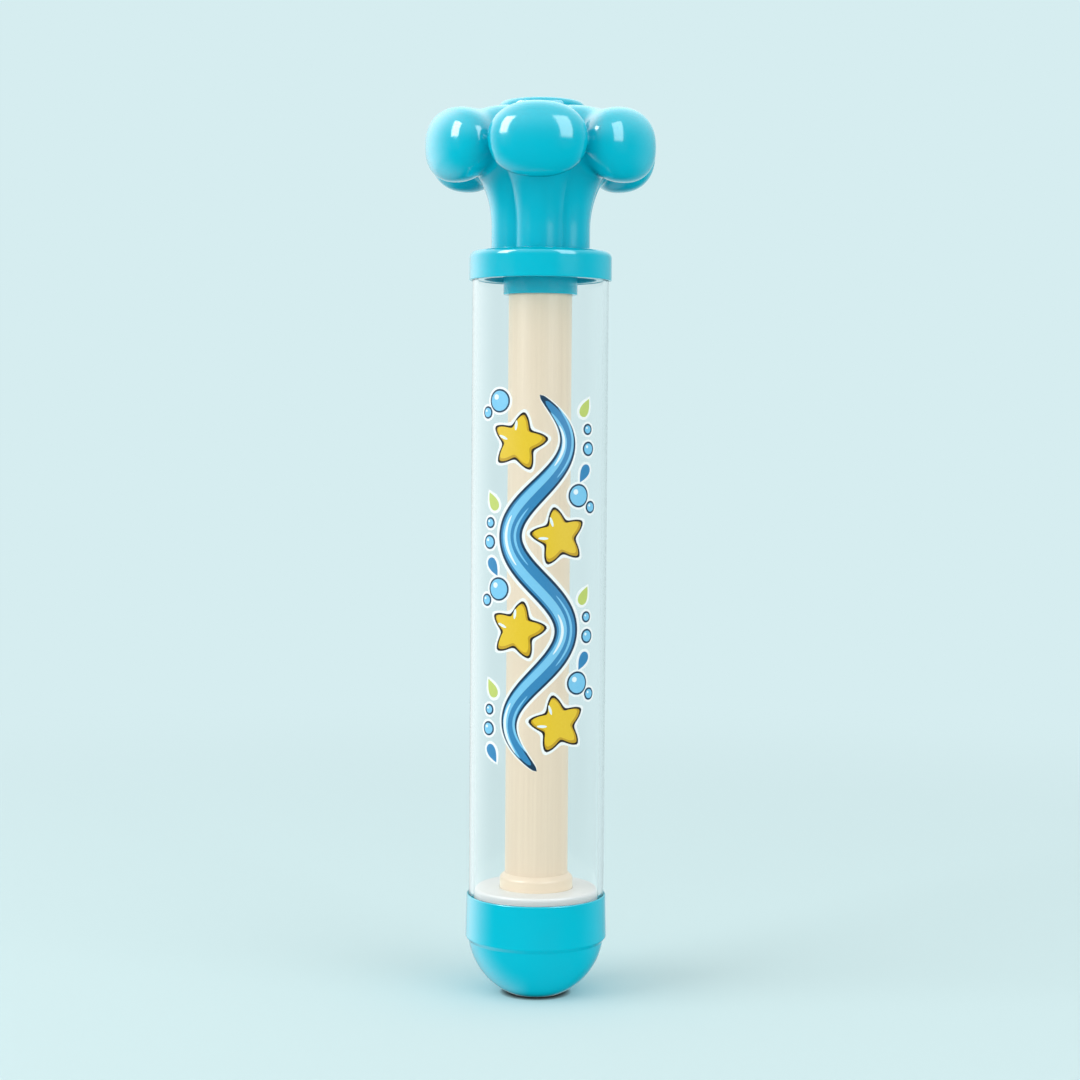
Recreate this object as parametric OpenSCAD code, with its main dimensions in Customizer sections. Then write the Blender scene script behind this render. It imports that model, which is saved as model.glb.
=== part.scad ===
// Pump-action water squirter. A clear barrel stands on a round nozzle cap; a collar closes its
// other end and guides a tube-like rod, which carries a sealed piston at its foot and a lobed
// knob at its head. Drawing the knob fills the barrel through the nozzle, pushing it squirts.
// The flat tip of the nose is on the origin, the barrel runs up Z, and the plunger is pushed in.
// All sizes are in millimetres.

/* [Barrel] */
// Outside diameter of the clear tube
tube_d = 43; // [40:0.5:48]
// Wall of the clear tube
tube_wall = 1.6; // [1.2:0.1:3]
// Length of the clear tube
tube_len = 214.8; // [160:0.1:300]

/* [Nose cap] */
// Length of the skirt that grips the tube
nose_grip = 13.6; // [10:0.1:20]
// Wall of the skirt round the tube
skirt_wall = 0.9; // [0.7:0.05:2]
// How much the skirt narrows towards its rim, on the radius
skirt_draft = 0.3; // [0:0.05:0.4]
// How far the round nose stands inside the skirt
nose_step = 0.8; // [0.6:0.05:2]
// Height of the sloping step between nose and skirt
step_h = 2.3; // [1.5:0.1:4]
// Diameter of the flat at the tip
tip_flat_d = 16.4; // [11:0.1:18]
// Depth of the tube's seat below the centre of the round nose
seat_drop = 1.8; // [1:0.1:4]
// Wall of the round nose
nose_wall = 2.3; // [1.5:0.1:3.5]
// Diameter of the nozzle
nozzle_d = 5; // [3:0.1:6]
// Length of the nozzle
nozzle_len = 5; // [3:0.1:7]

/* [Collar] */
// Height of the collar's outside
collar_h = 9.1; // [7:0.1:14]
// Wall of the collar round the tube
collar_wall = 0.9; // [0.7:0.05:2]
// Thickness of the collar's top
collar_plate = 2.4; // [1.6:0.1:4]
// Rounding of the collar's top edge
collar_edge = 1.4; // [0.3:0.1:1.8]
// Depth of the ring inside the tube, below the collar's top
plug_depth = 6.6; // [4:0.1:10]
// Wall of the ring inside the tube
plug_wall = 2.2; // [1.2:0.1:3]
// Depth of the rod's guide below the collar's top
guide_depth = 11.2; // [8:0.1:16]
// Wall of the rod's guide
guide_wall = 1.6; // [1:0.1:3]

/* [Rod] */
// Outside diameter of the rod
rod_d = 20; // [17:0.5:21]
// Wall of the rod
rod_wall = 1.8; // [1.2:0.1:3]
// Depth of the rod's socket in the knob
socket_depth = 26.5; // [18:0.5:28]
// Length of the plug in each end of the rod
rod_plug_len = 16; // [12:0.5:24]

/* [Piston] */
// Height of the piston
piston_h = 10; // [8:0.1:12]
// Room between the tube's seat and the piston pushed in
piston_lift = 5.7; // [5:0.1:12]
// Rounding of the piston's rims
piston_edge = 0.8; // [0.3:0.1:1.2]
// Thickness of the ring that seals the piston
seal_d = 3.5; // [2.5:0.1:4]
// Height of the cup on the rod's foot
foot_h = 8.8; // [7:0.1:12]
// Wall of the cup on the rod's foot
foot_wall = 1.55; // [1:0.05:2.5]
// Floor of the cup on the rod's foot
foot_floor = 2.5; // [1.5:0.1:3]
// How deep the cup is let into the piston
foot_sink = 4; // [2:0.1:5]
// Rounding of the cup's upper edge
foot_edge = 1.2; // [0.3:0.1:1.4]
// Diameter of the washer under the piston
washer_d = 18; // [14:0.5:24]
// Thickness of the washer
washer_t = 1.2; // [0.8:0.1:1.6]

/* [Screws] */
// Diameter of both screws
screw_d = 4; // [3:0.1:5]
// Diameter of the screws' heads
head_d = 8; // [7:0.1:9]
// Height of the screws' heads
head_h = 2.6; // [2:0.1:3]
// Depth of the cross in a screw's head
cross_depth = 1.3; // [0.8:0.1:1.6]
// How far a screw bites into a plug
screw_bite = 11; // [8:0.5:12]

/* [Knob] */
// Number of lobes
lobes = 6; // [5:1:8]
// Angle by which the front lobe is turned away from the front
knob_turn = -2.3; // [-15:0.1:15]
// Distance of a lobe's centre from the axis
lobe_reach = 29; // [28:0.1:30]
// Half the depth of a lobe, from the axis outwards
lobe_deep = 9; // [8.5:0.1:10]
// Half the width of a lobe, along the rim
lobe_wide = 14.9; // [14:0.1:15.5]
// Half the height of a lobe
lobe_tall = 11.4; // [10:0.1:12]
// Height of the lobes' centres above the stem's foot
lobe_height = 31.5; // [30:0.1:33]
// How square a lobe's upright outline is, where 2 is an ellipse
lobe_power = 2.3; // [2:0.05:2.8]
// Radius of the web between the lobes
web_r = 25.5; // [24:0.1:27]
// Half the height of the web on the axis
web_tall = 9.5; // [8:0.1:11]
// Distance of a flute's centre from the axis
flute_reach = 8.3; // [7:0.1:9]
// Radius of a flute
flute_r = 8.25; // [8:0.05:9.5]
// Height at which the stem starts to flare, above its foot
flare_start = 7.4; // [5:0.1:9]
// Height of the flared part
flare_h = 20.8; // [18:0.1:22]
// Radius of the flare
flare_r = 30; // [26:0.5:40]
// Height of the hub's flat top above the stem's foot
hub_height = 44; // [43:0.1:46]
// Width of the rounding round the hub's top
hub_edge = 8.5; // [7:0.5:10]
// Angle that softens the crease between two lobes
crease_soft = 1.8; // [0.5:0.1:6]
// Width of the fillet between lobes, web and stem
knob_fillet = 4.3; // [3.5:0.1:5]
// Thickness of the wall between the rod's socket and the screw's well
knob_floor = 4; // [3:0.1:5]
// Diameter of the cap on the hub
cap_d = 27; // [24:0.5:28]
// Thickness of the cap above the hub
cap_t = 2.6; // [2:0.1:4]
// Rounding of the cap's edge
cap_edge = 1.8; // [0.5:0.1:2.2]
// Diameter of the screw's well, which the cap plugs
well_d = 16; // [13:0.5:18]
// Length of the cap's plug
cap_plug = 5; // [3:0.5:6]

/* [Fits] */
// Gap of a joint that is glued or pressed together
press_gap = 0.05; // [0.02:0.01:0.1]
// Gap between the rod and its guide
guide_gap = 0.1; // [0.05:0.01:0.3]
// Gap between the piston and the tube
piston_gap = 0.25; // [0.15:0.01:0.4]
// Gap between the seal and the tube
seal_gap = 0.08; // [0.05:0.01:0.1]
// Gap between the seal and its groove
groove_gap = 0.15; // [0.1:0.01:0.3]
// Gap at the two stops of the plunger
stop_gap = 0.1; // [0.05:0.01:0.3]

/* [Hidden] */
$fn = 96;
teal = "#06b3cb";
cream = "#e6d9bd";
clear = [0.85, 0.95, 0.96, 0.3];

// Barrel, from the tip upwards
tube_r = tube_d / 2;
bore_r = tube_r - tube_wall;
skirt_r = tube_r + press_gap + skirt_wall;
dome_r = skirt_r - nose_step;
dome_z = sqrt(dome_r ^ 2 - (tip_flat_d / 2) ^ 2);
seat_z = dome_z - seat_drop;
step_z = seat_z - step_h;
step_r = sqrt(dome_r ^ 2 - (dome_z - step_z) ^ 2);
rim_z = seat_z + nose_grip;
rim_r = skirt_r - skirt_draft;
tube_top = seat_z + tube_len;
collar_r = tube_r + press_gap + collar_wall;
collar_top = tube_top + collar_plate;
plug_r = bore_r - press_gap;
guide_r = rod_d / 2 + guide_gap;

// Plunger, from the piston upwards
rod_r = rod_d / 2;
rod_bore = rod_r - rod_wall;
piston_r = bore_r - piston_gap;
piston_z = seat_z + piston_lift;
piston_top = piston_z + piston_h;
seal_z = piston_z + piston_h / 2;
seal_ring_r = bore_r - seal_gap - seal_d / 2;
groove_r = seal_ring_r - seal_d / 2 - groove_gap;
groove_h = seal_d + 2 * groove_gap;
foot_z = piston_top - foot_sink;
foot_r = rod_r + press_gap + foot_wall;
rod_z = foot_z + foot_floor;
knob_z = collar_top + stop_gap;
rod_top = knob_z + socket_depth;
screw_r = screw_d / 2;
hole_r = screw_r + press_gap;
well_z = rod_top + knob_floor;
hub_z = knob_z + hub_height;

// Knob's skin: columns in half a lobe, rows of each stretch, and halvings that find each point
half_cols = 9;
stem_rows = 3;
fillet_rows = 7;
lobe_rows = 16;
top_rows = 4;
halvings = 24;
lobe_z = knob_z + lobe_height;
flare_z = knob_z + flare_start;
fan_r = web_r - knob_fillet;
fan_z = flare_z + knob_fillet;
fan_stretch = (lobe_reach + lobe_deep - fan_r) / lobe_tall;
search_r = 2 * lobe_reach;

// How far a cutting shape runs past the face it cuts
over = 1;
// Chords in a rounded edge
edge_steps = 8;

// Points of a rounded edge about a centre, from one angle to another
function edge(centre, r, from, to) =
    [for (i = [0:edge_steps]) let (a = from + (to - from) * i / edge_steps) centre + r * [cos(a), sin(a)]];

// Least and greatest of two distances, rounded over a width k where they meet
function soft_min(a, b, k) = min(a, b) - (max(k - abs(a - b), 0) / k) ^ 2 * k / 4;
function soft_max(a, b, k) = -soft_min(-a, -b, k);

// Angle of a column from its lobe's ridge: columns crowd towards the crease on either side
function column_angle(i) = 180 / lobes * sin(90 * i / half_cols);

// Angle from the ridge at which a column's outline is taken, softened at the crease
function ridge_angle(i) = asin(cos(crease_soft) * sin(lobes * column_angle(i) / 2)) * 2 / lobes;

// Stem and hub: flutes round the axis that flare upwards and end in a rounded top
function flute(d) = flute_reach * cos(d) + sqrt(flute_r ^ 2 - (flute_reach * sin(d)) ^ 2);
function flare(z) = flare_r - sqrt(flare_r ^ 2 - max(0, min(z - flare_z, flare_h)) ^ 2);
function hub(p, d) = soft_max(p.x - flute(d) - flare(p.y), p.y - hub_z, hub_edge);

// Web between the lobes: a flattened ball on the axis
function web(p) = web_tall * (norm([p.x / web_r, (p.y - lobe_z) / web_tall]) - 1);

// One lobe: an ellipsoid whose upright outline is a little squared
function lobe_plan(r, d) = norm([(r * cos(d) - lobe_reach) / lobe_deep, r * sin(d) / lobe_wide]);
function lobe(p, d) =
    let (sides = lobe_plan(p.x, d) ^ lobe_power + (abs(p.y - lobe_z) / lobe_tall) ^ lobe_power)
    lobe_tall * (sides ^ (1 / lobe_power) - 1);

// Distance outside the knob's skin at a radius and height p, at an angle d from the ridge
function skin(p, d) = soft_min(soft_min(hub(p, d), web(p), knob_fillet), lobe(p, d), knob_fillet);

// Point where the ray from p along u crosses the skin; side is 1 for a ray from inside, -1 from outside
function crossing(p, u, far, d, side, near = 0, left = halvings) =
    let (mid = (near + far) / 2)
    left == 0 ? p + u * mid
    : side * skin(p + u * mid, d) < 0 ? crossing(p, u, far, d, side, mid, left - 1)
    : crossing(p, u, mid, d, side, near, left - 1);

// Stretches of the knob's outline, as radius and height, at an angle from the ridge: up the stem,
// round the fillet under the lobe, over the lobe, and in to the seat of the hub's cap
function stem_line(d) = [for (i = [0:stem_rows])
    crossing([0, flare_z + (fan_z - flare_z) * i / stem_rows], [1, 0], search_r, d, 1)];
function fillet_line(d) = [for (i = [1:fillet_rows])
    let (t = 90 * i / fillet_rows, far = min(fan_r / cos(t), (lobe_z - fan_z) / sin(t)))
    crossing([fan_r, fan_z], [-cos(t), sin(t)], far, d, -1)];
function lobe_line(d) = [for (i = [1:lobe_rows])
    let (t = 180 * i / lobe_rows - 90)
    crossing([fan_r, lobe_z], [fan_stretch * cos(t), sin(t)], search_r, d, 1)];
function top_line(d) = [for (i = [1:top_rows - 1])
    let (r = fan_r + (cap_d / 2 - fan_r) * i / top_rows)
    crossing([r, lobe_z], [0, 1], search_r, d, 1)];
function outline(d) = concat(
    [[flute(d), knob_z]], stem_line(d), fillet_line(d), lobe_line(d), top_line(d), [[cap_d / 2, hub_z]]);

// Solid ring of a rectangle turned about the axis
module ring(outer, inner, from, to) {
    rotate_extrude() translate([inner, from]) square([outer - inner, to - from]);
}

// Pan-head screw that points up, with the underside of its head on the origin and a cross in its head
module pan_screw(shank) {
    crown = head_h / 2;
    difference() {
        rotate_extrude() polygon(concat(
            [[0, shank], [0, -head_h]],
            edge([head_d / 2 - crown, -crown], crown, -90, 0),
            [[head_d / 2, 0], [screw_r, 0], [screw_r, shank - screw_r]]));
        for (turn = [0, 90])
            rotate(turn)
                translate([-screw_r, -screw_r / 4, -head_h - over])
                    cube([2 * screw_r, screw_r / 2, cross_depth + over]);
    }
}

// Lower half of a ball about the centre of the round nose, cut flat at a height
module nose_ball(r, floor_z) {
    intersection() {
        translate([0, 0, dome_z]) sphere(r);
        translate([0, 0, floor_z]) cylinder(r = skirt_r, h = dome_z - floor_z);
    }
}

// Round cap on the nose: a dome cut flat at the tip, a sloping step and a skirt over the tube. The
// step's slope runs as far again into the dome, so the two meet cleanly
module nose_cap() color(teal) difference() {
    union() {
        nose_ball(dome_r, 0);
        rotate_extrude() polygon([
            [0, step_z - step_h], [2 * step_r - skirt_r, step_z - step_h], [skirt_r, seat_z],
            [rim_r, rim_z], [0, rim_z]]);
    }
    nose_ball(dome_r - nose_wall, nozzle_len);
    translate([0, 0, seat_z]) cylinder(r = tube_r + press_gap, h = nose_grip + over);
    translate([0, 0, -over]) cylinder(d = nozzle_d, h = nozzle_len + 2 * over);
}

// Clear tube
module barrel_tube() color(clear) ring(tube_r, bore_r, seat_z, tube_top);

// Collar over the tube's upper end, with a ring inside the tube and a guide for the rod
module collar() color(teal) rotate_extrude() polygon(concat(
    [[guide_r, collar_top], [guide_r, tube_top - guide_depth]],
    [[guide_r + guide_wall, tube_top - guide_depth], [guide_r + guide_wall, tube_top]],
    [[plug_r - plug_wall, tube_top], [plug_r - plug_wall, tube_top - plug_depth]],
    [[plug_r, tube_top - plug_depth], [plug_r, tube_top], [tube_r + press_gap, tube_top]],
    [[tube_r + press_gap, collar_top - collar_h], [collar_r, collar_top - collar_h]],
    edge([collar_r - collar_edge, collar_top - collar_edge], collar_edge, 0, 90)));

// Rubber ring that seals the piston in the tube
module piston_seal() color("#3a3d40")
    translate([0, 0, seal_z]) rotate_extrude() translate([seal_ring_r, 0]) circle(seal_d / 2);

// Piston with a groove for its seal, a recess for the rod's foot and a hole for its screw
module piston_head() color("#f1efec") difference() {
    rotate_extrude() polygon(concat(
        [[0, piston_z]],
        edge([piston_r - piston_edge, piston_z + piston_edge], piston_edge, -90, 0),
        edge([piston_r - piston_edge, piston_top - piston_edge], piston_edge, 0, 90),
        [[0, piston_top]]));
    ring(piston_r + over, groove_r, seal_z - groove_h / 2, seal_z + groove_h / 2);
    translate([0, 0, foot_z]) cylinder(r = foot_r + press_gap, h = foot_sink + over);
    translate([0, 0, piston_z - over]) cylinder(r = hole_r, h = piston_h);
}

// Washer under the piston
module piston_washer() color("silver") ring(washer_d / 2, hole_r, piston_z - washer_t, piston_z);

// Screw from the washer through the piston into the rod's lower plug
module piston_screw() color("silver")
    translate([0, 0, piston_z - washer_t]) pan_screw(rod_z + screw_bite - piston_z + washer_t);

// Cup that holds the rod's foot and is let into the piston
module rod_foot_cup() color(cream) difference() {
    rotate_extrude() polygon(concat(
        [[hole_r, foot_z], [foot_r, foot_z]],
        edge([foot_r - foot_edge, foot_z + foot_h - foot_edge], foot_edge, 0, 90),
        [[hole_r, foot_z + foot_h]]));
    translate([0, 0, rod_z]) cylinder(r = rod_r + press_gap, h = foot_h);
}

// Plug in one end of the rod, with a hole for a screw
module rod_plug(z) color("#d9d4c8") ring(rod_bore - press_gap, hole_r, z, z + rod_plug_len);
module rod_foot_plug() rod_plug(rod_z);
module rod_head_plug() rod_plug(rod_top - rod_plug_len);

// Tube-like rod
module plunger_rod() color(cream) ring(rod_r, rod_bore, rod_z, rod_top);

// Knob's outer form: outlines from ridge to crease, mirrored about each ridge and skinned
module knob_form() {
    outlines = [for (i = [0:half_cols]) outline(ridge_angle(i))];
    angles = [for (k = [0:lobes - 1], i = [-half_cols:half_cols - 1]) 360 * k / lobes + column_angle(i)];
    cols = len(angles);
    rows = len(outlines[0]);
    points = [for (row = [0:rows - 1], col = [0:cols - 1])
        let (p = outlines[abs(col % (2 * half_cols) - half_cols)][row], a = angles[col])
        [p.x * cos(a), p.x * sin(a), p.y]];
    sides = [for (row = [0:rows - 2], col = [0:cols - 1])
        let (a = row * cols + col, b = row * cols + (col + 1) % cols)
        each [[a, a + cols, b + cols], [a, b + cols, b]]];
    foot = [for (col = [0:cols - 1]) col];
    seat = [for (col = [cols - 1:-1:0]) (rows - 1) * cols + col];
    polyhedron(points, concat(sides, [foot, seat]));
}

// Knob with a socket for the rod and a well for its screw
module knob() color(teal) difference() {
    rotate(knob_turn - 90) knob_form();
    translate([0, 0, knob_z - over]) cylinder(r = rod_r + press_gap, h = socket_depth + over);
    translate([0, 0, knob_z]) cylinder(r = hole_r, h = hub_height);
    translate([0, 0, well_z]) cylinder(r = well_d / 2, h = hub_height);
}

// Screw from the knob's well down into the rod's upper plug
module knob_screw() color("silver")
    translate([0, 0, well_z]) mirror([0, 0, 1]) pan_screw(knob_floor + screw_bite);

// Cap that closes the well on top of the hub
module knob_cap() color(teal) rotate_extrude() polygon(concat(
    [[0, hub_z - cap_plug], [well_d / 2 - press_gap, hub_z - cap_plug]],
    [[well_d / 2 - press_gap, hub_z], [cap_d / 2, hub_z]],
    edge([cap_d / 2 - cap_edge, hub_z + cap_t - cap_edge], cap_edge, 0, 90),
    [[0, hub_z + cap_t]]));

nose_cap();
barrel_tube();
collar();
piston_seal();
piston_head();
piston_washer();
piston_screw();
rod_foot_cup();
rod_foot_plug();
plunger_rod();
rod_head_plug();
knob();
knob_screw();
knob_cap();
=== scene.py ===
"""Looks of a pump water squirter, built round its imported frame.

Every new piece is a surface worked out with numpy in millimetres, in the frame's own place, and is written
to its mesh in metres. Heights run up the barrel from the tip of the nose, and the print faces -Y.
"""

import logging
import math
from dataclasses import dataclass
from enum import Enum

import bpy
import numpy as np
from mathutils import Matrix, Vector


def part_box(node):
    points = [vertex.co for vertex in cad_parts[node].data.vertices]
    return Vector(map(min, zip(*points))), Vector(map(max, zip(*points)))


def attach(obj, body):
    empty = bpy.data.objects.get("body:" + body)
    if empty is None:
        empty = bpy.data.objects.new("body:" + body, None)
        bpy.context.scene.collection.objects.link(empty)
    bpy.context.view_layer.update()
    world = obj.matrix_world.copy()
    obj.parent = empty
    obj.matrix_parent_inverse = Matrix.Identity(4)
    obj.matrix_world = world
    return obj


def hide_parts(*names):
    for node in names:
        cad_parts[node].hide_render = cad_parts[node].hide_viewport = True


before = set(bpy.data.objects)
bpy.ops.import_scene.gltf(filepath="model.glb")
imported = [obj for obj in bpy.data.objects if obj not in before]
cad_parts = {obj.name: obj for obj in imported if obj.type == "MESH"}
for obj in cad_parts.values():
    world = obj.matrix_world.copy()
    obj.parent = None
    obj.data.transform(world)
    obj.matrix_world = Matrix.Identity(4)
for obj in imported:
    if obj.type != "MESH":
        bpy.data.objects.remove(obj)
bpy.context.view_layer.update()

LOG = logging.getLogger("squirter")
MM = 0.001
TINY = 1e-9
FULL_TURN = 2 * math.pi
QUARTER_TURN = math.pi / 2
TURN_COLUMNS = 192
SHARP_ANGLE = math.radians(32)

# Rounded outlines: steps of an arc, how far a support point lies from it, how much of a side that may take,
# and the gap below which two points are one
FILLET_STEPS = 6
SUPPORT = 0.35
SUPPORT_SHARE = 0.45
LEAST_GAP = 1e-5

# Sockets of a colour mix, and settings of nodes
MIX_A, MIX_B, MIX_OUT = 6, 7, 2
BLEND = {"data_type": "RGBA"}
SMOOTH = {"interpolation_type": "SMOOTHSTEP"}
ADD = {"operation": "ADD"}
MULTIPLY = {"operation": "MULTIPLY"}
MULTIPLY_ADD = {"operation": "MULTIPLY_ADD"}
MAXIMUM = {"operation": "MAXIMUM"}
MINIMUM = {"operation": "MINIMUM"}
LENGTH = {"operation": "LENGTH"}
NORMALIZE = {"operation": "NORMALIZE"}

Pair = tuple[float, float]
Corner = tuple[float, float, float]
Colour = tuple[float, float, float, float]
Tree = bpy.types.NodeTree
Socket = bpy.types.NodeSocket
Sockets = bpy.types.bpy_prop_collection


class Body(Enum):
    """Bodies of the frame that pieces ride on."""

    BARREL = "barrel"
    SEAL = "seal"
    PLUNGER = "plunger"


class Slot(Enum):
    """Material slots of the record."""

    TEAL = "teal_plastic"
    CLEAR = "clear_plastic"
    CREAM = "cream_plastic"
    WHITE = "white_plastic"
    RUBBER = "seal_rubber"
    STEEL = "screw_steel"


class Ends(Enum):
    """How a grid's rows end: its last row joins its first, or both shrink to a point."""

    LOOP = "loop"
    POLES = "poles"


def linear(colour: str) -> Colour:
    """Turn an sRGB hex colour into linear RGBA.

    Args:
        colour: The colour as #RRGGBB.

    Returns:
        Linear red, green, blue and an alpha of 1.
    """
    srgb = np.array([int(colour[i:i + 2], 16) for i in (1, 3, 5)]) / 255
    low = srgb / 12.92
    high = ((srgb + 0.055) / 1.055) ** 2.4
    return (*np.where(srgb <= 0.04045, low, high).tolist(), 1.0)


def add_node(tree: Tree, kind: str, settings: dict | None = None, inputs: dict | None = None) -> Sockets:
    """Add a shader node with its settings and links.

    Args:
        tree: The node tree that gets the node.
        kind: The node's type, without the ShaderNode that all types start with.
        settings: Properties of the node.
        inputs: Values of its inputs by name or number; a socket is linked.

    Returns:
        The new node's outputs.
    """
    node = tree.nodes.new("ShaderNode" + kind)
    for name, value in (settings or {}).items():
        setattr(node, name, value)
    for key, value in (inputs or {}).items():
        if isinstance(value, Socket):
            tree.links.new(value, node.inputs[key])
        else:
            node.inputs[key].default_value = value
    return node.outputs


@dataclass(frozen=True)
class Pattern:
    """A random pattern in a finish.

    Its features are about size_mm wide, with finer ones by its detail, and are drawn out to length_mm along
    the barrel where that is given.
    """

    size_mm: float
    detail: float
    length_mm: float = 0.0

    def add(self, tree: Tree) -> Socket:
        """Add the pattern to a material.

        Args:
            tree: The material's node tree.

        Returns:
            The pattern's height, about 0.5 and mostly from 0.3 to 0.7.
        """
        place = add_node(tree, "TexCoord")["Object"]
        if self.length_mm:
            drawn = (1.0, 1.0, self.size_mm / self.length_mm)
            place = add_node(tree, "Mapping", inputs={"Vector": place, "Scale": drawn})["Vector"]
        return add_node(tree, "TexNoise", inputs={
            "Vector": place, "Scale": 1 / (self.size_mm * MM), "Detail": self.detail})["Fac"]


@dataclass(frozen=True)
class Finish:
    """A finish, which makes one material and may belong to a slot of the record."""

    name: str
    slot: Slot | None

    def material(self) -> bpy.types.Material:
        """Make the finish's material when it is first asked for.

        Returns:
            The material.
        """
        made = bpy.data.materials.get(self.name)
        if made is None:
            made = bpy.data.materials.new(self.name)
            made.use_nodes = True
            made.node_tree.nodes.clear()
            add_node(made.node_tree, "OutputMaterial", inputs={"Surface": self.surface(made.node_tree)})
        return made

    def surface(self, tree: Tree) -> Socket:
        """Add the finish's nodes and return the shader that ends them."""
        raise NotImplementedError


@dataclass(frozen=True)
class SolidFinish(Finish):
    """A finish of two near colours.

    Over a span of its marks, the first colour turns into the second and the first roughness into the second.
    Its relief follows a pattern of its own, or the marks.
    """

    colour: str
    second: str
    gloss: Pair
    marks: Pattern
    tint_span: Pair = (0.0, 1.0)
    gloss_span: Pair = (0.0, 1.0)
    relief: Pattern | None = None
    relief_mm: float = 0.0
    ior: float = 1.5
    metallic: float = 0.0
    coat: float = 0.0
    coat_roughness: float = 0.09

    def surface(self, tree: Tree) -> Socket:
        """Add the finish's colours, roughness and relief to a shader.

        Args:
            tree: The material's node tree.

        Returns:
            The shader.
        """
        marks = self.marks.add(tree)
        share, roughness = (
            add_node(tree, "MapRange", inputs={
                "Value": marks, "From Min": start, "From Max": end, "To Min": low, "To Max": high})["Result"]
            for (start, end), (low, high) in ((self.tint_span, (0.0, 1.0)), (self.gloss_span, self.gloss)))
        tint = add_node(tree, "Mix", BLEND, {
            "Factor": share, MIX_A: linear(self.colour), MIX_B: linear(self.second)})[MIX_OUT]
        inputs = {"Base Color": tint, "Roughness": roughness, "IOR": self.ior, "Metallic": self.metallic,
                  "Coat Weight": self.coat, "Coat Roughness": self.coat_roughness}
        if self.relief_mm:
            height = self.relief.add(tree) if self.relief else marks
            inputs["Normal"] = add_node(tree, "Bump", inputs={
                "Height": height, "Strength": 1.0, "Distance": self.relief_mm * MM})["Normal"]
        return add_node(tree, "BsdfPrincipled", inputs=inputs)["BSDF"]


@dataclass(frozen=True)
class MouldedPlastic(SolidFinish):
    """Injection-moulded plastic.

    A polished mould gives the eye an even colour with soft clouds where the melt flowed, and a gloss that
    is broken a little by the ripple of shrinking plastic.
    """

    marks: Pattern = Pattern(14.0, 3.0)
    gloss_span: Pair = (0.3, 0.7)
    relief: Pattern | None = Pattern(5.0, 1.0)
    relief_mm: float = 0.008


@dataclass(frozen=True)
class ExtrudedPipe(SolidFinish):
    """Extruded plastic pipe.

    The die draws faint streaks along the pipe, which the eye sees as a satin sheen with fine upright lines.
    The real lines are about 0.2 mm apart, drawn coarser here so that they show.
    """

    marks: Pattern = Pattern(0.9, 4.0, 70.0)
    tint_span: Pair = (0.3, 0.7)
    gloss_span: Pair = (0.3, 0.7)
    relief_mm: float = 0.004
    ior: float = 1.53


@dataclass(frozen=True)
class PlatedSteel(SolidFinish):
    """Zinc-plated steel: a cool grey metal whose gloss is broken by turning marks and plating grain."""

    marks: Pattern = Pattern(0.5, 4.0)
    metallic: float = 1.0


@dataclass(frozen=True)
class ScreenInk(SolidFinish):
    """Screen-printed ink.

    A film with a soft shine, mottled a little by the screen's mesh. The real mesh is about 0.1 mm, drawn
    coarser here so that it shows.
    """

    gloss: Pair = (0.25, 0.5)
    marks: Pattern = Pattern(0.6, 2.0)
    ior: float = 1.48


@dataclass(frozen=True)
class ClearTube(Finish):
    """Clear extruded tube.

    The eye sees through it, with bright and dark lines where the wall turns edge on and faint upright draw
    lines in its reflections, which are coarsened to show. Lamps reach what is inside as they do through real
    thin clear plastic, so light and shadow rays pass it straight. Such plastic has an index of refraction of
    about 1.57, and a lower one is matched to the faint reflections and edges of this thin wall.
    """

    tint: str
    light_tint: str
    lines: Pattern = Pattern(2.4, 2.0, 160.0)
    line_depth_mm: float = 0.006
    roughness: float = 0.015
    ior: float = 1.3

    def surface(self, tree: Tree) -> Socket:
        """Add draw lines to a clear shader that lets lamps through.

        Args:
            tree: The material's node tree.

        Returns:
            The shader.
        """
        normal = add_node(tree, "Bump", inputs={
            "Height": self.lines.add(tree), "Strength": 1.0, "Distance": self.line_depth_mm * MM})["Normal"]
        wall = add_node(tree, "BsdfPrincipled", inputs={
            "Base Color": linear(self.tint), "Roughness": self.roughness, "IOR": self.ior,
            "Transmission Weight": 1.0, "Normal": normal})["BSDF"]
        straight = add_node(tree, "BsdfTransparent", inputs={"Color": linear(self.light_tint)})["BSDF"]
        path = add_node(tree, "LightPath")
        shadowed = add_node(tree, "MixShader", inputs={
            0: path["Is Shadow Ray"], 1: wall, 2: straight})["Shader"]
        return add_node(tree, "MixShader", inputs={
            0: path["Is Diffuse Ray"], 1: shadowed, 2: straight})["Shader"]


@dataclass(frozen=True)
class Rise:
    """A level that grows smoothly with the share of a direction that lies along an axis of the room."""

    axis: str
    start: float
    full: float
    level: float = 1.0


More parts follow.
